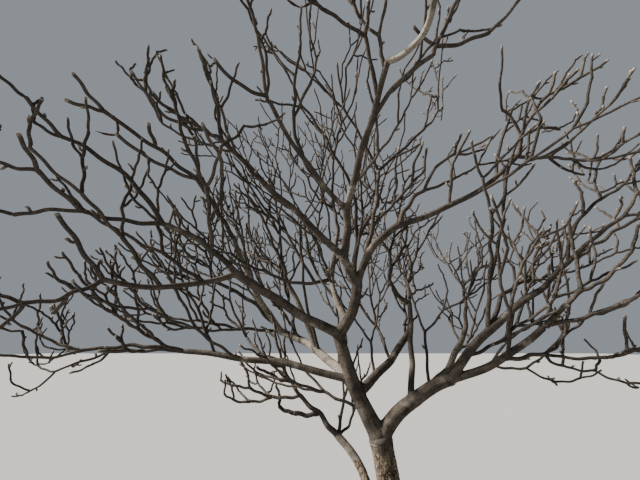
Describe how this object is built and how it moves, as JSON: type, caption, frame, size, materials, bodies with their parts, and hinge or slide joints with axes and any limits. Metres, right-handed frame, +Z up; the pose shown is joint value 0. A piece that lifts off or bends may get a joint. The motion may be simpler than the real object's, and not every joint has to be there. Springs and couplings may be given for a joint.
{
  "type": "frangipani tree",
  "caption": "Bare frangipani tree with a short leaning trunk, a slim second stem from the same root, stout forking boughs and a wide crown of blunt twigs.",
  "frame": {"origin": "centre of the flat cut under the trunk, at ground level", "axes": "+Z up, +Y away from the side the tree is seen from, +X to the right of that view"},
  "size_m": [6.1466, 4.1893, 4.632],
  "materials": {
    "trunk_bark": "corky rough bark",
    "bough_bark": "smooth grey bark with leaf scars",
    "twigs": "matt grey bark, bare"
  },
  "bodies": {
    "root": {"back_high": "bough_bark", "back_left": "bough_bark", "back_left_arm": "bough_bark", "back_middle": "bough_bark", "back_right": "bough_bark", "centre_left": "bough_bark", "centre_right": "bough_bark", "high_bough": "bough_bark", "leader": "bough_bark", "left_arm": "bough_bark", "left_front": "bough_bark", "left_reach": "bough_bark", "low_left": "bough_bark", "mast": "bough_bark", "mast_foot": "bough_bark", "mast_right": "bough_bark", "mid_bough": "bough_bark", "middle_left": "bough_bark", "overhead": "bough_bark", "right_arm": "bough_bark", "right_back": "bough_bark", "right_limb": "bough_bark", "right_lower": "bough_bark", "right_tall": "bough_bark", "right_upper": "bough_bark", "second_stem": "trunk_bark", "trunk": "trunk_bark", "twigs_back_high": "twigs", "twigs_back_high_side": "twigs", "twigs_back_left_arm": "twigs", "twigs_back_left_back": "twigs", "twigs_back_left_side": "twigs", "twigs_back_middle": "twigs", "twigs_back_right": "twigs", "twigs_centre_left": "twigs", "twigs_centre_left_side": "twigs", "twigs_centre_right_up": "twigs", "twigs_left_arm": "twigs", "twigs_left_arm_up": "twigs", "twigs_left_reach": "twigs", "twigs_low_left": "twigs", "twigs_low_left_up": "twigs", "twigs_mast_left": "twigs", "twigs_mast_right": "twigs", "twigs_mast_up": "twigs", "twigs_middle_left": "twigs", "twigs_overhead": "twigs", "twigs_right_arm": "twigs", "twigs_right_arm_side": "twigs", "twigs_right_back": "twigs", "twigs_right_far": "twigs", "twigs_right_lower": "twigs", "twigs_right_lower_side": "twigs", "twigs_right_tall": "twigs", "twigs_right_upper": "twigs", "twigs_right_upper_up": "twigs", "twigs_second_left": "twigs", "twigs_upper_left": "twigs", "twigs_upper_left_up": "twigs", "upper_left": "bough_bark"}
  },
  "joints": []
}
